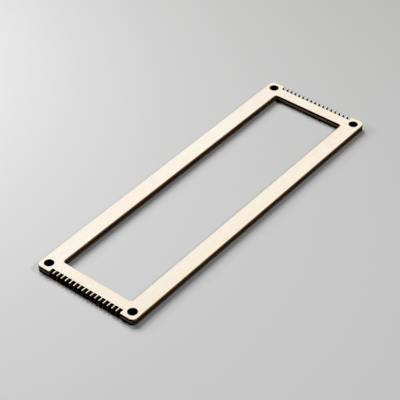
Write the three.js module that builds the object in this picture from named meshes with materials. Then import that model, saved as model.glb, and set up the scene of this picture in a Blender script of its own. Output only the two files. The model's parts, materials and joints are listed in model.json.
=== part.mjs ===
// Small hand-weaving loom, cut by laser from one sheet of three-ply plywood.
//
// The board is a long rectangular frame. Each short end is a comb of seventeen
// slots that hold the warp threads, and each corner has a round hole. The plywood
// is three veneers held by two films of glue, and the laser cuts all five to the
// same outline.
//
// Frame: millimetres, +Z up. The board lies flat on its back veneer at Z = 0,
// centred on the origin, with its length along Y and its width along X.

import * as THREE from "three";

// Board
const boardLength = 248;
const boardWidth = 80;
const cornerRadius = 3.4;

// Window that the weaving is worked through
const sideRail = 11.7;
const endRail = 12;
const windowRadius = 2;

// Corner holes
const holeRadius = 3.2;
const holeFromSide = 5.7;
const holeFromEnd = 5.9;

// Comb of warp slots on each short end
const slotCount = 17;
const slotPitch = 3.46;
const slotWidth = 2.55;
const slotDepth = 3.6;
const landRadius = 0.8; // rounds the corner land where it meets the first and last slot

// Layers
const veneerThickness = 1.6;
const glueThickness = 0.1;

// Straight pieces that each arc is drawn with
const arcSegments = 8;

const halfLength = boardLength / 2;
const halfWidth = boardWidth / 2;
const quarterTurn = Math.PI / 2;

const basswood = new THREE.MeshStandardMaterial({ color: 0xf1e6cf, roughness: 0.65, metalness: 0 });
const poplarCore = new THREE.MeshStandardMaterial({ color: 0x6b4a33, roughness: 0.8, metalness: 0 });
const glueFilm = new THREE.MeshStandardMaterial({ color: 0x2a1a10, roughness: 0.5, metalness: 0 });

// One short end of the outline, from its left corner to its right corner as seen
// from outside. The far end is the near end turned by half a turn.
function addCombEnd(outline, turn) {
  const flip = Math.cos(turn);
  const lineTo = (x, y) => outline.lineTo(flip * x, flip * y);
  const arc = (x, y, radius, from, to) =>
    outline.absarc(flip * x, flip * y, radius, from + turn, to + turn, false);

  const edge = -halfLength;
  const root = edge + slotDepth;
  arc(-halfWidth + cornerRadius, edge + cornerRadius, cornerRadius, 2 * quarterTurn, 3 * quarterTurn);
  for (let slot = 0; slot < slotCount; slot++) {
    const centre = (slot - (slotCount - 1) / 2) * slotPitch;
    const left = centre - slotWidth / 2;
    const right = centre + slotWidth / 2;
    if (slot === 0) arc(left - landRadius, edge + landRadius, landRadius, -quarterTurn, 0);
    else lineTo(left, edge);
    lineTo(left, root);
    lineTo(right, root);
    if (slot === slotCount - 1)
      arc(right + landRadius, edge + landRadius, landRadius, 2 * quarterTurn, 3 * quarterTurn);
    else lineTo(right, edge);
  }
  arc(halfWidth - cornerRadius, edge + cornerRadius, cornerRadius, -quarterTurn, 0);
}

// Round hole, as four quarter arcs so that it gets the same arc steps as a corner.
function roundHole(x, y, radius) {
  const hole = new THREE.Path();
  for (let quarter = 0; quarter < 4; quarter++)
    hole.absarc(x, y, radius, quarter * quarterTurn, (quarter + 1) * quarterTurn, false);
  return hole;
}

function windowOpening() {
  const opening = new THREE.Path();
  const x = halfWidth - sideRail - windowRadius;
  const y = halfLength - endRail - windowRadius;
  const corners = [[x, y], [-x, y], [-x, -y], [x, -y]];
  corners.forEach(([cornerX, cornerY], quarter) =>
    opening.absarc(cornerX, cornerY, windowRadius, quarter * quarterTurn, (quarter + 1) * quarterTurn, false),
  );
  return opening;
}

function boardOutline() {
  const outline = new THREE.Shape();
  addCombEnd(outline, 0);
  addCombEnd(outline, Math.PI);
  outline.closePath();
  outline.holes.push(windowOpening());
  for (const sideX of [-1, 1])
    for (const sideY of [-1, 1])
      outline.holes.push(
        roundHole(sideX * (halfWidth - holeFromSide), sideY * (halfLength - holeFromEnd), holeRadius),
      );
  return outline;
}

// One layer of the sheet, cut to the shared outline.
function layer(name, material, thickness) {
  const geometry = new THREE.ExtrudeGeometry(boardOutline(), {
    depth: thickness,
    bevelEnabled: false,
    curveSegments: arcSegments / 2,
  });
  const mesh = new THREE.Mesh(geometry, material);
  mesh.name = name;
  return mesh;
}

// From the table up: the core's grain runs across the board, both outer veneers' along it.
const layers = [
  ["back_veneer", basswood, veneerThickness],
  ["lower_glue_line", glueFilm, glueThickness],
  ["core_veneer", poplarCore, veneerThickness],
  ["upper_glue_line", glueFilm, glueThickness],
  ["face_veneer", basswood, veneerThickness],
];

const loom = new THREE.Group();
let bottom = 0;
for (const [name, material, thickness] of layers) {
  const sheet = layer(name, material, thickness);
  sheet.position.z = bottom;
  loom.add(sheet);
  bottom += thickness;
}

export default loom;
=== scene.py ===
# Looks of the weaving loom board: five laser-cut layers of plywood on a pale studio floor.
# Lengths in the dictionaries are in millimetres, and everything in Blender is in metres.

import json
import math

import bpy
import numpy as np
from mathutils import Matrix, Vector
from mathutils.geometry import delaunay_2d_cdt


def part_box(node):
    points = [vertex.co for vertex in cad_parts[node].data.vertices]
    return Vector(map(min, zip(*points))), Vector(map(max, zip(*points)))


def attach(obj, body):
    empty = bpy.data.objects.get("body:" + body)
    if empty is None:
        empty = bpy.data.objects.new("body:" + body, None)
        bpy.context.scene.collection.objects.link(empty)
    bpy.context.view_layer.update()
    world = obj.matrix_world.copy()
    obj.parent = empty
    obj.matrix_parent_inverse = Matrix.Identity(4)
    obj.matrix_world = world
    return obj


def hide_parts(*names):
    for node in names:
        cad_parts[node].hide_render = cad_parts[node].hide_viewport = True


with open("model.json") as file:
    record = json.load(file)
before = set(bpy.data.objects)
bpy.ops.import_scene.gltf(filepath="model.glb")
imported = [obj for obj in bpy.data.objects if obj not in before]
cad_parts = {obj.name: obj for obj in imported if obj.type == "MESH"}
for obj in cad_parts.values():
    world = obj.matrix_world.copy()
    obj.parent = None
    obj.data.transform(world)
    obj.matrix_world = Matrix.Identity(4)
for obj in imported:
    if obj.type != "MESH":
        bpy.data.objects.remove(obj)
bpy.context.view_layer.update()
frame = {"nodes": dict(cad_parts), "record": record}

mm = 0.001
onLine = 0.01 * mm    # points this close to a line are on it
openings = {row["name"]: np.array(row["box_m"]) for row in frame["record"]["physics"]["openings"]}


# Unit vector from the board out to a camera or lamp, for an azimuth measured round from the near
# comb and an elevation above the floor, both in degrees.
def wayOut(settings):
    azimuth, elevation = math.radians(settings["azimuth"]), math.radians(settings["elevation"])
    return Vector((
        math.sin(azimuth) * math.cos(elevation),
        -math.cos(azimuth) * math.cos(elevation),
        math.sin(elevation),
    ))


cameraSettings = {
    "azimuth": 38.64,      # degrees round from the near comb
    "elevation": 40.64,    # degrees above the floor
    "roll": 0.05,          # degrees, clockwise
    "distance": 936.2,     # from the aim point
    "lens": 128.5,         # focal length
    "sensor": 36,          # width
    "aim": (1.55, -12.3, 5.0),
}


# Camera axes: back points from the aim point to the lens, level lies across it, and upright is
# back x level. Right and up are level and upright turned by the roll.
def makeCamera(settings):
    azimuth, roll = math.radians(settings["azimuth"]), math.radians(settings["roll"])
    back = wayOut(settings)
    level = Vector((math.cos(azimuth), math.sin(azimuth), 0))
    upright = back.cross(level)
    right = level * math.cos(roll) + upright * math.sin(roll)
    up = upright * math.cos(roll) - level * math.sin(roll)
    camera = bpy.data.objects.new("camera", bpy.data.cameras.new("camera"))
    camera.data.sensor_width = settings["sensor"]
    camera.data.lens = settings["lens"]
    turned = Matrix((right, up, back)).transposed().to_4x4()
    place = Vector(settings["aim"]) * mm + back * settings["distance"] * mm
    camera.matrix_world = Matrix.Translation(place) @ turned
    bpy.context.scene.collection.objects.link(camera)
    bpy.context.scene.camera = camera


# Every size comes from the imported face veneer: the window's and holes' points are those near
# the stated openings, and the comb's are the rest that lie between the corner arcs.
def measureBoard():
    points = np.empty(len(frame["nodes"]["face_veneer"].data.vertices) * 3)
    frame["nodes"]["face_veneer"].data.vertices.foreach_get("co", points)
    plan = points.reshape(-1, 3)[:, :2]
    reach = 2 * mm    # the stated boxes stop less than this short of the cuts

    def pointsNear(box):
        return np.all((plan > box[0, :2] - reach) & (plan < box[1, :2] + reach), axis=1)

    window = np.abs(plan[pointsNear(openings["weaving_window"])])
    hole = plan[pointsNear(openings["corner_hole_far_right"])]
    half = np.abs(plan).max(0)
    windowHalf = window.max(0)
    holeCentre = (hole.min(0) + hole.max(0)) / 2
    onSide = np.abs(plan[:, 0]) > half[0] - onLine
    cornerRadius = half[1] - np.abs(plan[onSide, 1]).max()
    inOpening = np.any([pointsNear(box) for box in openings.values()], axis=0)
    comb = plan[~inOpening & (np.abs(plan[:, 0]) < half[0] - cornerRadius) & (plan[:, 1] > 0)]
    root = comb[:, 1].min()
    rootX = np.unique(np.round(comb[comb[:, 1] < root + onLine, 0] / mm, 3)) * mm
    windowSideY = window[window[:, 0] > windowHalf[0] - onLine, 1].max()
    tipX = np.abs(comb[comb[:, 1] > half[1] - onLine, 0])
    return {
        "half": half,
        "cornerRadius": cornerRadius,
        "windowHalf": windowHalf,
        "windowRadius": windowHalf[1] - windowSideY,
        "holeCentre": holeCentre,
        "holeRadius": (hole[:, 0].max() - hole[:, 0].min()) / 2,
        "slotEdges": rootX.reshape(-1, 2),
        "slotRoot": root,
        "landRadius": tipX[tipX > rootX[-1] + onLine].min() - rootX[-1],
    }


board = measureBoard()
print("measured board:", {key: np.round(np.array(value) / mm, 3).tolist() for key, value in board.items()})


cutSettings = {
    "arcSteps": 8,         # chords along each rounded corner
    "straightStep": 4.0,   # longest chord along a straight cut
    "tipRadius": 0.38,     # the beam's own width rounds the tip of each tooth
    "rootRadius": 0.3,     # and the inner corners of each slot
    "holeArc": 0.9999,     # share of a hole's radius in its arcs, which so don't quite meet
    "fillStep": 4.0,       # spacing of the points inside the sheet
    "fillClear": 0.4,      # share of that spacing kept clear of every cut
    "mergeWithin": 1e-5,   # points closer than this are one
}
firstHole = 2              # the loops are the outline, the window and then the holes


# Height of the cross product of two plan vectors: x1 y2 - y1 x2.
def cross(first, second):
    return first[..., 0] * second[..., 1] - first[..., 1] * second[..., 0]


# A closed polygon whose corners become arcs tangent to both of their sides. An arc starts
# radius x tan(turn / 2) before its corner, and its point at share t of the turn is
# centre + radius x (outward normal turned by t x turn). The solid is on the left of the path,
# so outward is to the right of travel. Straights are then split into equal chords.
def roundedLoop(corners, radii, settings):
    leaving = np.roll(corners, -1, axis=0) - corners
    leaving /= np.linalg.norm(leaving, axis=1, keepdims=True)
    arriving = np.roll(leaving, 1, axis=0)
    turn = np.arctan2(cross(arriving, leaving), (arriving * leaving).sum(1))
    side = np.sign(turn)[:, None]
    outward = np.stack([arriving[:, 1], -arriving[:, 0]], axis=1)
    start = corners - arriving * (radii * np.tan(np.abs(turn) / 2))[:, None]
    centre = start - side * radii[:, None] * outward
    angle = turn[:, None] * np.linspace(0, 1, settings["arcSteps"] + 1)
    turned = np.stack([
        outward[:, :1] * np.cos(angle) - outward[:, 1:] * np.sin(angle),
        outward[:, :1] * np.sin(angle) + outward[:, 1:] * np.cos(angle),
    ], axis=2)
    points = (centre[:, None] + side[:, None] * radii[:, None, None] * turned).reshape(-1, 2)
    normals = turned.reshape(-1, 2)

    gaps = np.linalg.norm(np.roll(points, -1, axis=0) - points, axis=1)
    slack = 1e-6    # rounding must not add a chord
    chords = np.maximum(np.ceil(gaps / (settings["straightStep"] * mm) - slack).astype(int), 1)
    begin = np.repeat(np.arange(len(points)), chords)
    step = np.arange(chords.sum()) - np.repeat(np.cumsum(chords) - chords, chords)
    share = (step / np.repeat(chords, chords))[:, None]
    end = (begin + 1) % len(points)
    points = points[begin] * (1 - share) + points[end] * share
    normals = normals[begin] * (1 - share) + normals[end] * share
    return points, normals / np.linalg.norm(normals, axis=1, keepdims=True)


# Corners of the near comb's slots, from left to right, and the board's outer corners; the far
# comb is the near one turned by half a turn.
def boardCorners(settings):
    edges, root, half = board["slotEdges"], board["slotRoot"], board["half"]
    slots = np.empty((len(edges), 4, 2))
    slots[:, :, 0] = edges[:, [0, 0, 1, 1]]
    slots[:, :, 1] = -np.array([half[1], root, root, half[1]])
    slotRadii = np.tile(np.array([
        settings["tipRadius"], settings["rootRadius"], settings["rootRadius"], settings["tipRadius"],
    ]) * mm, len(edges))
    slotRadii[[0, -1]] = board["landRadius"]
    corners = np.concatenate([[-half], slots.reshape(-1, 2), [half * (1, -1)]])
    radii = np.concatenate([[board["cornerRadius"]], slotRadii, [board["cornerRadius"]]])
    return np.concatenate([corners, -corners]), np.concatenate([radii, radii])


# An opening is a rectangle with rounded corners, gone round clockwise. A hole is a square one
# whose corner arcs meet.
def openingCorners(centre, half):
    return np.array(centre) + np.array([(1, 1), (1, -1), (-1, -1), (-1, 1)]) * half


# Every cut as a loop of points and outward normals: the outline, the window, then the holes.
def cutLoops(settings):
    loops = [roundedLoop(*boardCorners(settings), settings)]
    window = openingCorners((0, 0), board["windowHalf"])
    loops.append(roundedLoop(window, np.full(4, board["windowRadius"]), settings))
    for sideX in (-1, 1):
        for sideY in (-1, 1):
            hole = openingCorners(board["holeCentre"] * (sideX, sideY), board["holeRadius"])
            arcs = np.full(4, board["holeRadius"] * settings["holeArc"])
            loops.append(roundedLoop(hole, arcs, settings))
    return loops


# Points on a grid inside the sheet, kept clear of every cut.
def fillPoints(settings):
    step = settings["fillStep"] * mm
    clear = step * settings["fillClear"]
    half = board["half"]
    counts = np.floor(half / step).astype(int)
    gridX, gridY = np.meshgrid(
        np.arange(-counts[0], counts[0] + 1) * step, np.arange(-counts[1], counts[1] + 1) * step
    )
    points = np.stack([gridX.ravel(), gridY.ravel()], axis=1)
    size = np.abs(points)
    inBoard = (size[:, 0] < half[0] - clear) & (size[:, 1] < board["slotRoot"] - clear)
    inWindow = np.all(size < board["windowHalf"] + clear, axis=1)
    inHole = np.linalg.norm(size - board["holeCentre"], axis=1) < board["holeRadius"] + clear
    return points[inBoard & ~inWindow & ~inHole]


# Triangles of the whole sheet between its cuts, as numbers of the loops' points followed by
# the fill points. An opening is convex, so the triangles inside it are those whose three
# points all lie on it.
def fillTriangles(loops, inside, settings):
    points = np.concatenate([loop[0] for loop in loops] + [inside]) / mm
    sizes = [len(loop[0]) for loop in loops]
    starts = np.cumsum([0] + sizes[:-1])
    number = np.arange(sum(sizes))
    follower = number + 1
    follower[starts + sizes - 1] = starts
    edges = np.stack([number, follower], axis=1)
    insideOnly = 1    # no triangles outside the outline
    places = [Vector(point) for point in points.tolist()]
    found = delaunay_2d_cdt(places, edges.tolist(), [], insideOnly, settings["mergeWithin"])
    source = np.array([original[0] for original in found[3]])
    triangles = source[np.array(found[2])]
    owner = np.repeat(np.arange(len(loops) + 1), sizes + [len(inside)])[triangles]
    inOpening = (owner[:, 0] == owner[:, 1]) & (owner[:, 1] == owner[:, 2])
    inOpening &= (owner[:, 0] > 0) & (owner[:, 0] < len(loops))
    return triangles[~inOpening]


loops = cutLoops(cutSettings)
inside = fillPoints(cutSettings)
triangles = fillTriangles(loops, inside, cutSettings)
print("outline points:", [len(loop[0]) for loop in loops], "fill", len(inside), "triangles", len(triangles))


# grain: the axis that the layer's fibres run along. inset: how far the cut has burnt back.
# arris: radius of the worn edges. tightBurn: extra burn in the slots and holes, where the
# beam lingers.
layerSettings = {
    "face_veneer": {
        "slot": "outer_veneer", "face": "face-veneer", "cut": "face-veneer-cut",
        "grain": 1, "inset": 0.0, "arris": 0.14, "tightBurn": 0.78,
    },
    "upper_glue_line": {
        "slot": "glue", "face": "glue", "cut": "glue-cut",
        "grain": 1, "inset": 0.03, "arris": 0.03, "tightBurn": 0.78,
    },
    "core_veneer": {
        "slot": "core_veneer", "face": "core-veneer", "cut": "core-veneer-cut",
        "grain": 0, "inset": 0.05, "arris": 0.1, "tightBurn": 0.56,
    },
    "lower_glue_line": {
        "slot": "glue", "face": "glue", "cut": "glue-cut",
        "grain": 1, "inset": 0.03, "arris": 0.03, "tightBurn": 0.78,
    },
    "back_veneer": {
        "slot": "outer_veneer", "face": "back-veneer", "cut": "back-veneer-cut",
        "grain": 1, "inset": 0.0, "arris": 0.14, "tightBurn": 0.78,
    },
}
arrisSteps = 3             # chords round each arris
besideComb = 0.1 * mm      # walls this close to the slots are still the comb's


# Wall profile: a straight wall between two quarter-round arrises. At angle a the arris stands
# back by arris x (1 - sin a) and in from its face by arris x (1 - cos a).
def wallProfile(low, high, settings):
    angle = np.linspace(0, math.pi / 2, arrisSteps + 1)
    arris = settings["arris"] * mm
    back = -settings["inset"] * mm - arris * (1 - np.sin(angle))
    rise = arris * (1 - np.cos(angle))
    return np.concatenate([back, back[::-1]]), np.concatenate([low + rise, high - rise[::-1]])


# One layer: the wall profile carried along every cut, and both faces filled with the sheet's
# triangles. Wall UVs are (distance along the cut, height), and face UVs are the plan in metres.
# burn = size of the wall's normal along the grain, plus tightBurn in the slots and holes.
def layerMesh(name, settings):
    low, high = (corner.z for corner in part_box(name))
    offsets, heights = wallProfile(low, high, settings)
    rows = len(offsets)
    vertices, quads, quadUvs, burn, lowNumbers, highNumbers = [], [], [], [], [], []
    first, distance = 0, 0.0
    for number, (points, normals) in enumerate(loops):
        count = len(points)
        ring = np.empty((rows, count, 3))
        ring[:, :, :2] = points + normals * offsets[:, None, None]
        ring[:, :, 2] = heights[:, None]
        vertices.append(ring.reshape(-1, 3))
        acrossGrain = np.abs(normals[:, settings["grain"]])
        inComb = np.abs(points[:, 1]) > board["slotRoot"] - besideComb
        inComb &= np.abs(points[:, 0]) < board["slotEdges"][-1, 1] + besideComb
        tight = inComb | (number >= firstHole)
        burn.append(np.tile(np.where(tight, settings["tightBurn"] + acrossGrain, acrossGrain), rows))
        row, column = np.meshgrid(np.arange(rows - 1), np.arange(count), indexing="ij")
        row, column, after = row.ravel(), column.ravel(), (column.ravel() + 1) % count
        quads.append(first + np.stack([
            row * count + column,
            row * count + after,
            (row + 1) * count + after,
            (row + 1) * count + column,
        ], axis=1))
        chords = np.linalg.norm(np.roll(points, -1, axis=0) - points, axis=1)
        along = distance + np.concatenate([[0], np.cumsum(chords)])
        quadUvs.append(np.stack([
            np.stack([along[column], along[column + 1], along[column + 1], along[column]], axis=1),
            np.stack([heights[row], heights[row], heights[row + 1], heights[row + 1]], axis=1),
        ], axis=2))
        lowNumbers.append(first + np.arange(count))
        highNumbers.append(first + (rows - 1) * count + np.arange(count))
        first += rows * count
        distance = along[-1]
    for numbers, height in ((lowNumbers, low), (highNumbers, high)):
        vertices.append(np.column_stack([inside, np.full(len(inside), height)]))
        burn.append(np.zeros(len(inside)))
        numbers.append(first + np.arange(len(inside)))
        first += len(inside)
    vertices = np.concatenate(vertices)
    quads = np.concatenate(quads)
    faces = np.concatenate([
        np.concatenate(highNumbers)[triangles], np.concatenate(lowNumbers)[triangles[:, ::-1]],
    ])

    mesh = bpy.data.meshes.new(name)
    mesh.from_pydata(vertices.tolist(), [], quads.tolist() + faces.tolist())
    onWall = np.arange(len(mesh.polygons)) < len(quads)
    mesh.polygons.foreach_set("use_smooth", onWall)
    mesh.polygons.foreach_set("material_index", onWall.astype(np.int32))
    uvs = np.concatenate([np.concatenate(quadUvs).reshape(-1, 2), vertices[faces.ravel(), :2]])
    mesh.uv_layers.new(name="sheet").data.foreach_set("uv", uvs.astype(np.float32).ravel())
    mesh.attributes.new("burn", "FLOAT", "POINT").data.foreach_set(
        "value", np.concatenate(burn).astype(np.float32)
    )
    mesh.validate()
    mesh.update()
    return mesh


# One layer's piece, with its faces in the first material and its cut walls in the second.
def makeLayer(name, settings, faceMaterial, cutMaterial):
    piece = bpy.data.objects.new(name.replace("_", "-") + "-cut", layerMesh(name, settings))
    piece.data.materials.append(faceMaterial)
    piece.data.materials.append(cutMaterial)
    bpy.context.scene.collection.objects.link(piece)
    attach(piece, "root")
    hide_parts(name)


class Signal:
    # One output socket of a shader tree. Sums, products and powers of signals, and of signals
    # with plain numbers on either side, add Math nodes.
    def __init__(self, graph, socket):
        self.graph = graph
        self.socket = socket

    def maths(self, operation, *values):
        return self.graph.node("Math", {"operation": operation}, dict(enumerate(values)))

    def __add__(self, other):
        return self.maths("ADD", self, other)

    def __radd__(self, other):
        return self.maths("ADD", other, self)

    def __sub__(self, other):
        return self.maths("SUBTRACT", self, other)

    def __rsub__(self, other):
        return self.maths("SUBTRACT", other, self)

    def __mul__(self, other):
        return self.maths("MULTIPLY", self, other)

    def __rmul__(self, other):
        return self.maths("MULTIPLY", other, self)

    def __truediv__(self, other):
        return self.maths("DIVIDE", self, other)

    def __pow__(self, other):
        return self.maths("POWER", self, other)

    def __abs__(self):
        return self.maths("ABSOLUTE", self)


class Graph:
    # The node tree of one material.
    def __init__(self, name):
        self.material = bpy.data.materials.new(name)
        self.material.use_nodes = True
        self.tree = self.material.node_tree
        self.shader = self.tree.nodes["Principled BSDF"]

    # Any node: its type, its settings, the values or signals of its sockets, and which output.
    def node(self, kind, settings=None, values=None, output=0):
        made = self.tree.nodes.new("ShaderNode" + kind)
        for key, value in (settings or {}).items():
            setattr(made, key, value)
        for key, value in (values or {}).items():
            self.feed(made.inputs[key], value)
        return Signal(self, made.outputs[output])

    # A signal is linked to the socket, and anything else becomes the socket's own value.
    def feed(self, socket, value):
        if isinstance(value, Signal):
            self.tree.links.new(value.socket, socket)
        else:
            socket.default_value = value

    # Smallest of a signal and the values after it.
    def least(self, first, *others):
        for other in others:
            first = first.maths("MINIMUM", first, other)
        return first

    # Larger of two values.
    def greatest(self, first, second):
        return self.node("Math", {"operation": "MAXIMUM"}, {0: first, 1: second})

    # Share 0 to 1 of the way from low to high, eased at both ends.
    def eased(self, value, low, high):
        return self.node("MapRange", {"interpolation_type": "SMOOTHSTEP"}, {
            "Value": value, "From Min": low, "From Max": high,
        })

    # Colour that is share of the way from the first to the second.
    def mixed(self, share, first, second):
        return self.node("Mix", {"data_type": "RGBA"}, {0: share, 6: first, 7: second}, 2)

    # Noise, from 0 to 1, on places stretched by the given scales per metre and shifted by the
    # mark's seed.
    def noise(self, places, scales, mark):
        stretched = self.node("Mapping", {}, {
            "Vector": places, "Scale": scales, "Location": (mark["seed"],) * 3,
        })
        return self.node("TexNoise", {}, {
            "Vector": stretched, "Scale": 1.0, "Detail": mark["detail"], "Roughness": mark["roughness"],
        })

    # A mark's mask, from 0 to 1: its noise, eased between where the mark starts and is full.
    def mask(self, noise, mark):
        return self.eased(noise, mark["starts"], mark["full"])

    # Relief from a height signal, as deep as the settings' bumpDepth in millimetres.
    def relief(self, height, settings):
        return self.node("Bump", {}, {
            "Strength": settings["bumpStrength"], "Distance": settings["bumpDepth"] * mm, "Height": height,
        })

    # Constants go on the shader's own sockets, and signals are linked to them.
    def finish(self, **values):
        for key, value in values.items():
            self.feed(self.shader.inputs[key.replace("_", " ")], value)
        return self.material


# Opaque colour from its three linear parts.
def colour(red, green, blue):
    return (red, green, blue, 1.0)


# Distance in millimetres from a place on the sheet to the nearest cut. The outline and the
# window are boxes with round corners: past the straight sides the distance is the length of
# the overshoot, less the corner radius. A hole is a circle. The slots are one box repeated at
# the comb's pitch, so x is first taken from the nearest slot's centre; withComb says whether
# the slots count.
def cutDistance(graph, places, withComb):
    x = abs(graph.node("SeparateXYZ", {}, {0: places}, 0) / mm)
    y = abs(graph.node("SeparateXYZ", {}, {0: places}, 1) / mm)

    def boxDistance(across, along, half, radius):
        overX = across - (half[0] - radius)
        overY = along - (half[1] - radius)
        beyond = (graph.greatest(overX, 0.0) ** 2 + graph.greatest(overY, 0.0) ** 2) ** 0.5
        return beyond + graph.least(graph.greatest(overX, overY), 0.0) - radius

    edges = board["slotEdges"] / mm
    pitch = (edges[-1, 0] - edges[0, 0]) / (len(edges) - 1)
    number = graph.least((x / pitch).maths("ROUND", x / pitch), (len(edges) - 1) / 2)
    fromSlot = abs(x - number * pitch)
    slotHalf = (edges[0, 1] - edges[0, 0]) / 2
    fromRoot = graph.greatest(board["slotRoot"] / mm - y, 0.0)
    slots = (graph.greatest(fromSlot - slotHalf, 0.0) ** 2 + fromRoot ** 2) ** 0.5
    holeX, holeY = board["holeCentre"] / mm
    holes = ((x - holeX) ** 2 + (y - holeY) ** 2) ** 0.5 - board["holeRadius"] / mm
    outline = 0.0 - boxDistance(x, y, board["half"] / mm, board["cornerRadius"] / mm)
    window = boxDistance(x, y, board["windowHalf"] / mm, board["windowRadius"] / mm)
    nearest = graph.least(outline, window, holes)
    return graph.least(nearest, slots) if withComb else nearest


# Bare veneer. Scorch runs scorchWidth millimetres in from the cuts, and leaves the slots clear
# where scorchComb is false.
veneerSettings = {
    "face-veneer": {
        "across": 0,                             # axis that the grain lies across
        "cream": colour(0.88, 0.815, 0.705),
        "blush": colour(0.88, 0.78, 0.68),       # pinkish clouds of the heartwood
        "straw": colour(0.865, 0.79, 0.61),      # growth bands
        "fleck": colour(0.66, 0.54, 0.40),       # pores and ray flecks
        "scorch": colour(0.72, 0.59, 0.34),      # smoke that settled beside the cuts
        "leftPaintedLightAndTint": (0.970, 0.990, 1.006),       # painted light: lighter to the right to make up for the lamps' fall-off; also warmer from left to right
        "rightPaintedLightAndTint": (1.028, 1.010, 0.994),
        "scorchWidth": 1.3,
        "scorchShare": 0.18,
        "scorchComb": False,
    },
    "back-veneer": {
        "across": 0,
        "cream": colour(0.80, 0.72, 0.56),
        "blush": colour(0.80, 0.70, 0.56),
        "straw": colour(0.79, 0.70, 0.49),
        "fleck": colour(0.64, 0.52, 0.36),
        "scorch": colour(0.30, 0.17, 0.075),
        "leftPaintedLightAndTint": (1, 1, 1),
        "rightPaintedLightAndTint": (1, 1, 1),
        "scorchWidth": 3.2,
        "scorchShare": 0.85,
        "scorchComb": True,
    },
    "core-veneer": {
        "across": 1,
        "cream": colour(0.66, 0.53, 0.36),
        "blush": colour(0.64, 0.50, 0.35),
        "straw": colour(0.62, 0.48, 0.29),
        "fleck": colour(0.45, 0.33, 0.20),
        "scorch": colour(0.10, 0.05, 0.02),
        "leftPaintedLightAndTint": (1, 1, 1),
        "rightPaintedLightAndTint": (1, 1, 1),
        "scorchWidth": 0.8,
        "scorchShare": 0.9,
        "scorchComb": True,
    },
}

# Marks of the grain. scales: per metre, across the grain and then along it. starts and full:
# the noise where the mark begins and is complete. share: how far it takes the colour. swing:
# how far a noise moves the value that it is added to.
grainMarks = {
    "cloud": {
        "scales": (38, 14), "seed": 3.0, "detail": 3.0, "roughness": 0.5,
        "starts": 0.38, "full": 0.66,
    },
    "band": {
        "scales": (130, 4), "seed": 7.0, "detail": 2.0, "roughness": 0.5,
        "starts": 0.45, "full": 0.75, "share": 0.75,
    },
    "fibre": {
        "scales": (2600, 45), "seed": 11.0, "detail": 3.0, "roughness": 0.6,
        "starts": 0.45, "full": 0.75, "share": 0.6,
    },
    "figure": {
        "scales": (620, 150), "seed": 13.0, "detail": 3.0, "roughness": 0.65,
        "starts": 0.36, "full": 0.64, "share": 0.13,
    },
    "pore": {
        "scales": (5200, 420), "seed": 17.0, "detail": 1.0, "roughness": 0.5,
        "starts": 0.66, "full": 0.78, "share": 0.6,
    },
    "ray": {
        "scales": (1400, 330), "seed": 23.0, "detail": 1.0, "roughness": 0.5,
        "starts": 0.68, "full": 0.80, "share": 0.5,
    },
    "smoke": {"scales": (260, 260), "seed": 31.0, "detail": 3.0, "roughness": 0.6, "swing": 1.2},
    "sanding": {"scales": (6500, 25), "seed": 41.0, "detail": 2.0, "roughness": 0.5},
}
grainFinish = {
    "throughScale": 40,        # per metre, through the sheet
    "height": {"fibre": 0.6, "sanding": 0.4, "pore": 0.8},    # pores are sunk
    "bumpStrength": 0.35,
    "bumpDepth": 0.04,
    "roughness": 0.62,
    "fibreRoughness": 0.16,    # added along the fibres
}


# Veneer: cream clouded with blush, streaked with straw, flecked, scaled across the sheet by a
# mix that runs from its left to its right side (painted light that makes up for the lamps'
# fall-off, together with a real warming of the tone), then scorched where the distance to the
# nearest cut, in scorch widths and stirred by the smoke noise, is under one.
def bareVeneer(name, settings):
    graph = Graph(name)
    places = graph.node("TexCoord", {}, {}, "Object")
    marks, finish = grainMarks, grainFinish

    def grain(part):
        across, along = marks[part]["scales"]
        plan = (across, along) if settings["across"] == 0 else (along, across)
        return graph.noise(places, (*plan, finish["throughScale"]), marks[part])

    cloud = graph.mask(grain("cloud"), marks["cloud"])
    shade = graph.mixed(cloud, settings["cream"], settings["blush"])
    band = graph.mask(grain("band"), marks["band"])
    shade = graph.mixed(band * marks["band"]["share"], shade, settings["straw"])
    fibre = grain("fibre")
    streak = graph.mask(fibre, marks["fibre"])
    shade = graph.mixed(streak * marks["fibre"]["share"], shade, settings["straw"])
    figure = graph.mask(grain("figure"), marks["figure"])
    shade = graph.mixed(figure * marks["figure"]["share"], shade, settings["fleck"])
    pore = graph.mask(grain("pore"), marks["pore"])
    ray = graph.mask(grain("ray"), marks["ray"])
    fleck = graph.greatest(pore * marks["pore"]["share"], ray * marks["ray"]["share"])
    shade = graph.mixed(fleck, shade, settings["fleck"])

    # Painted light: the colour is scaled up towards the right to make up for the lamps' fall-off, and
    # warmed there too.
    across = graph.node("SeparateXYZ", {}, {0: places}, 0) / (2 * board["half"][0]) + 0.5
    paintedLightAndTint = graph.node("Mix", {"data_type": "VECTOR"}, {
        0: across, 4: settings["leftPaintedLightAndTint"], 5: settings["rightPaintedLightAndTint"],
    }, 1)
    shade = graph.node("VectorMath", {"operation": "MULTIPLY"}, {0: shade, 1: paintedLightAndTint})

    drift = (grain("smoke") - 0.5) * marks["smoke"]["swing"]
    reach = cutDistance(graph, places, settings["scorchComb"]) / settings["scorchWidth"] + drift
    scorched = (1 - graph.eased(reach, 0.0, 1.0)) * settings["scorchShare"]
    shade = graph.mixed(scorched, shade, settings["scorch"])

    part = finish["height"]
    height = fibre * part["fibre"] + grain("sanding") * part["sanding"] - pore * part["pore"]
    return graph.finish(
        Base_Color=shade,
        Roughness=finish["roughness"] + fibre * finish["fibreRoughness"],
        Normal=graph.relief(height, finish),
    )
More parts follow.
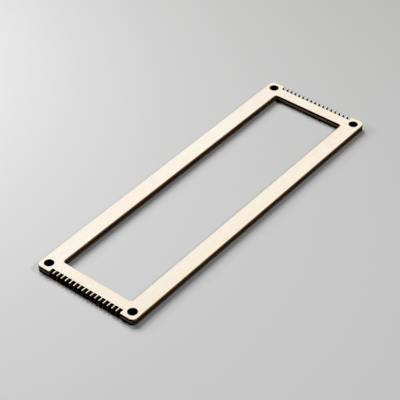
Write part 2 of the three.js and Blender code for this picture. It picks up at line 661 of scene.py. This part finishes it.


# Cut edges. The laser browns a ply along its grain and blackens it across, and leaves fine
# striations through the thickness. sootAndPaintedShadeTop: millimetres up to which the foot of the wall is
# blackened, partly soot from below and partly painted contact shade where it meets the floor.
cutFinishes = {
    "face-veneer-cut": {
        "brown": colour(0.315, 0.165, 0.078), "black": colour(0.004, 0.0012, 0.0004),
        "roughness": 0.72, "sootAndPaintedShadeTop": 0.0,
    },
    "core-veneer-cut": {
        "brown": colour(0.235, 0.155, 0.115), "black": colour(0.004, 0.0012, 0.0004),
        "roughness": 0.72, "sootAndPaintedShadeTop": 0.0,
    },
    "back-veneer-cut": {
        "brown": colour(0.33, 0.20, 0.125), "black": colour(0.004, 0.0012, 0.0004),
        "roughness": 0.72, "sootAndPaintedShadeTop": 1.65,
    },
    "glue-cut": {
        "brown": colour(0.006, 0.003, 0.0015), "black": colour(0.003, 0.0015, 0.0008),
        "roughness": 0.45, "sootAndPaintedShadeTop": 0.0,
    },
}

# Marks of the cut. scales: per metre, along the cut and then up it.
cutMarks = {
    "striation": {"scales": (3600, 170), "seed": 2.0, "detail": 3.0, "roughness": 0.6},
    "ripple": {"scales": (900, 120), "seed": 5.0, "detail": 2.0, "roughness": 0.5},
    "patch": {"scales": (70, 260), "seed": 9.0, "detail": 3.0, "roughness": 0.6},
    "fibre": {"scales": (90, 9000), "seed": 13.0, "detail": 2.0, "roughness": 0.5},
}
# Each part's weights of those marks, with starts, full, share and swing as for the grain.
charSettings = {
    "burn": {"swing": 0.5, "starts": 0.50, "full": 0.95},
    "soot": {"striation": 0.5, "ripple": 0.25, "patch": 0.25, "starts": 0.36, "full": 0.62, "share": 0.55},
    # smoke: blackens the foot of the wall, partly soot and partly painted contact shade.
    "smoke": {"swing": 0.6, "starts": 0.6},
    "bare": {"fibre": 0.6, "ripple": 0.4, "starts": 0.58, "full": 0.76, "share": 0.35, "lighter": 1.7},
    "height": {"striation": 0.5, "ripple": 0.3, "fibre": 0.3},
    "bumpStrength": 0.5,
    "bumpDepth": 0.06,
    "patchRoughness": 0.2,
    "specular": 0.0,       # soot doesn't shine
}


# Char: brown turns black where burn, stirred by the patch noise, passes its threshold. Soot
# darkens it further, the foot of the wall is blackened (partly smoke from below, partly painted
# contact shade), and bare fibres show through lighter where it isn't burnt.
def charredCut(name, settings):
    graph = Graph(name)
    along = graph.node("UVMap", {"uv_map": "sheet"})
    char = charSettings
    striation, ripple, patch, fibre = (
        graph.noise(along, (*cutMarks[part]["scales"], 1), cutMarks[part])
        for part in ("striation", "ripple", "patch", "fibre")
    )

    burn = graph.node("Attribute", {"attribute_name": "burn"}, {}, "Fac")
    burnt = graph.mask(burn + (patch - 0.5) * char["burn"]["swing"], char["burn"])
    shade = graph.mixed(burnt, settings["brown"], settings["black"])
    part = char["soot"]
    soot = striation * part["striation"] + ripple * part["ripple"] + patch * part["patch"]
    shade = graph.mixed(graph.mask(soot, part) * part["share"], shade, settings["black"])
    # Painted shade in part: the foot of the wall is blackened for soot from below and for the contact shade
    # where it meets the floor.
    if settings["sootAndPaintedShadeTop"] > 0:
        part = char["smoke"]
        height = graph.node("SeparateXYZ", {}, {0: along}, 1) / mm + (ripple - 0.5) * part["swing"]
        smoke = 1 - graph.eased(height, part["starts"], settings["sootAndPaintedShadeTop"])
        shade = graph.mixed(smoke, shade, settings["black"])
    part = char["bare"]
    bare = graph.mask(fibre * part["fibre"] + ripple * part["ripple"], part) * (1 - burnt)
    lighter = tuple(min(1.0, part["lighter"] * channel) for channel in settings["brown"])
    shade = graph.mixed(bare * part["share"], shade, lighter)
    part = char["height"]
    height = striation * part["striation"] + ripple * part["ripple"] + fibre * (1 - burnt) * part["fibre"]
    return graph.finish(
        Base_Color=shade,
        Roughness=settings["roughness"] + patch * char["patchRoughness"],
        Normal=graph.relief(height, char),
        Specular_IOR_Level=char["specular"],
    )


# Glue film, seen only where a layer is lifted off: resin soaked into the wood on both sides.
glueSettings = {
    "thick": colour(0.20, 0.11, 0.055),
    "thin": colour(0.36, 0.23, 0.12),
    "pool": {
        "scales": (300, 120, 40), "seed": 3.0, "detail": 4.0, "roughness": 0.6,
        "starts": 0.35, "full": 0.65,
    },
    "bumpStrength": 0.3,
    "bumpDepth": 0.1,
    "roughness": 0.35,
    "poolRoughness": 0.25,
}


# Film: thick resin thinning where the pool noise is high, and rougher and higher there.
def glueFilm(name, settings):
    graph = Graph(name)
    places = graph.node("TexCoord", {}, {}, "Object")
    pool = graph.noise(places, settings["pool"]["scales"], settings["pool"])
    return graph.finish(
        Base_Color=graph.mixed(graph.mask(pool, settings["pool"]), settings["thick"], settings["thin"]),
        Roughness=settings["roughness"] + pool * settings["poolRoughness"],
        Normal=graph.relief(pool, settings),
    )


# Painted shade: the floor's colour runs evenly from lighter near to darker far over the stated
# reach each side of the board, standing in for the lamps' fall-off.
floorSettings = {
    "side": 3000.0,
    "reach": 300.0,
    "near": colour(0.659, 0.66, 0.667),
    "far": colour(0.489, 0.486, 0.481),
    "roughness": 0.9,
    "shine": 0.1,
}


def makeFloor(settings):
    reach = settings["side"] * mm / 2
    corners = [(-reach, -reach, 0), (reach, -reach, 0), (reach, reach, 0), (-reach, reach, 0)]
    mesh = bpy.data.meshes.new("floor")
    mesh.from_pydata(corners, [], [(0, 1, 2, 3)])
    floor = bpy.data.objects.new("floor", mesh)
    graph = Graph("floor")
    along = graph.node("SeparateXYZ", {}, {0: graph.node("TexCoord", {}, {}, "Object")}, 1)
    # Painted shade: lighter near, darker far, in place of the lamps' fall-off.
    share = graph.node("MapRange", {}, {
        "Value": along / mm, "From Min": -settings["reach"], "From Max": settings["reach"],
    })
    shade = graph.mixed(share, settings["near"], settings["far"])
    mesh.materials.append(graph.finish(
        Base_Color=shade, Roughness=settings["roughness"], Specular_IOR_Level=settings["shine"],
    ))
    bpy.context.scene.collection.objects.link(floor)


# Square lamps. azimuth and elevation: as for the camera. distance: from the board's centre.
lampSettings = {
    "softbox": {"azimuth": -119, "elevation": 47, "distance": 2940, "side": 1550, "watts": 81.3},
    "panel": {"azimuth": -75.6, "elevation": 33, "distance": 500, "side": 205, "watts": 1.07},
    "fill": {"azimuth": 111, "elevation": 46.7, "distance": 1155, "side": 130, "watts": 3.9},
}
skySettings = {"shade": (0.62, 0.62, 0.62)}    # seen only past the edge of the floor


# A lamp stands at its distance along the way out from the board, and faces back down it.
def makeLamp(name, settings):
    away = wayOut(settings)
    lamp = bpy.data.lights.new(name, "AREA")
    lamp.shape = "SQUARE"
    lamp.size = settings["side"] * mm
    lamp.energy = settings["watts"]
    holder = bpy.data.objects.new(name, lamp)
    holder.location = away * settings["distance"] * mm
    holder.rotation_mode = "QUATERNION"
    holder.rotation_quaternion = away.to_track_quat("Z", "Y")
    holder.visible_camera = False
    bpy.context.scene.collection.objects.link(holder)


# The sky's strength is 1 for rays straight from the camera and 0 for all others, so that it is
# seen but lights nothing.
def makeSky(settings):
    world = bpy.data.worlds.new("sky")
    world.use_nodes = True
    background = world.node_tree.nodes["Background"]
    background.inputs["Color"].default_value = (*settings["shade"], 1)
    seen = world.node_tree.nodes.new("ShaderNodeLightPath").outputs["Is Camera Ray"]
    world.node_tree.links.new(seen, background.inputs["Strength"])
    bpy.context.scene.world = world


makeCamera(cameraSettings)
faces = {name: bareVeneer(name, settings) for name, settings in veneerSettings.items()}
faces["glue"] = glueFilm("glue-film", glueSettings)
cuts = {name: charredCut(name, settings) for name, settings in cutFinishes.items()}
for name, settings in layerSettings.items():
    makeLayer(name, settings, faces[settings["face"]], cuts[settings["cut"]])
print("layers made:", ", ".join(layerSettings))
makeFloor(floorSettings)
for name, settings in lampSettings.items():
    makeLamp(name, settings)
makeSky(skySettings)
bpy.context.scene.view_settings.view_transform = "Standard"
